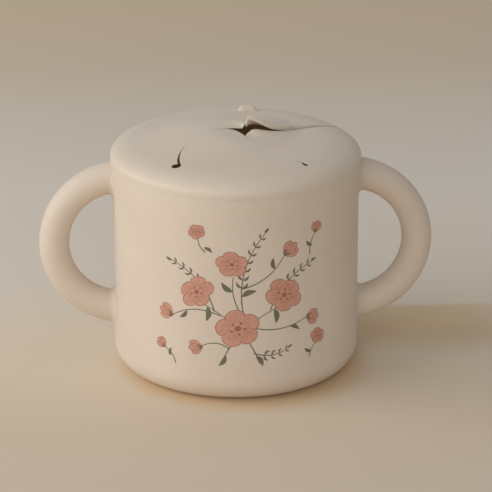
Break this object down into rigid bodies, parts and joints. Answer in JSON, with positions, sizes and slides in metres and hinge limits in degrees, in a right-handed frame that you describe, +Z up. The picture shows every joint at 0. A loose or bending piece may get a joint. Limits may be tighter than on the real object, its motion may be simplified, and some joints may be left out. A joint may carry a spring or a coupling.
{
  "type": "toddler snack cup",
  "caption": "Soft silicone toddler snack cup with looped side handles and a push-on lid whose crown is slit into curved flaps that a small hand pushes through.",
  "frame": {"origin": "centre of the base, on the surface that the cup stands on", "axes": "+X runs out through the right handle, +Z is up along the cup's axis, and -Y is the decorated front"},
  "size_m": [0.136, 0.086, 0.0881],
  "materials": {
    "cup_silicone": "soft matte food-grade silicone, warm cream",
    "lid_silicone": "soft matte food-grade silicone, warm cream",
    "print_pink": "flat dusty pink print, flush with the silicone",
    "print_green": "flat grey-green print, flush with the silicone"
  },
  "bodies": {
    "cup": {"cup_body": "cup_silicone", "handle_left": "cup_silicone", "handle_right": "cup_silicone"},
    "lid": {"lid_ring": "lid_silicone"},
    "front_flap": {"flap_front": "lid_silicone"},
    "right_flap": {"flap_right": "lid_silicone"},
    "back_flap": {"flap_back": "lid_silicone"},
    "left_flap": {"flap_left": "lid_silicone"}
  },
  "joints": [
    {"name": "lid_lift", "type": "slide", "parent": "cup", "child": "lid", "axis": [0, 0, 1], "range_m": [0, 0.06]},
    {"name": "front_flap_bend", "type": "hinge", "parent": "lid", "child": "front_flap", "pos_m": [-0.00236, -0.01684, 0.08019], "axis": [0.9903, -0.139, 0], "range_deg": [-70, 40], "stiffness_Nm_per_rad": 0.004},
    {"name": "right_flap_bend", "type": "hinge", "parent": "lid", "child": "right_flap", "pos_m": [0.01684, -0.00236, 0.08019], "axis": [0.139, 0.9903, 0], "range_deg": [-70, 40], "stiffness_Nm_per_rad": 0.004},
    {"name": "back_flap_bend", "type": "hinge", "parent": "lid", "child": "back_flap", "pos_m": [0.00236, 0.01684, 0.08019], "axis": [-0.9903, 0.139, 0], "range_deg": [-70, 40], "stiffness_Nm_per_rad": 0.004},
    {"name": "left_flap_bend", "type": "hinge", "parent": "lid", "child": "left_flap", "pos_m": [-0.01684, 0.00236, 0.08019], "axis": [-0.139, -0.9903, 0], "range_deg": [-70, 40], "stiffness_Nm_per_rad": 0.004}
  ]
}
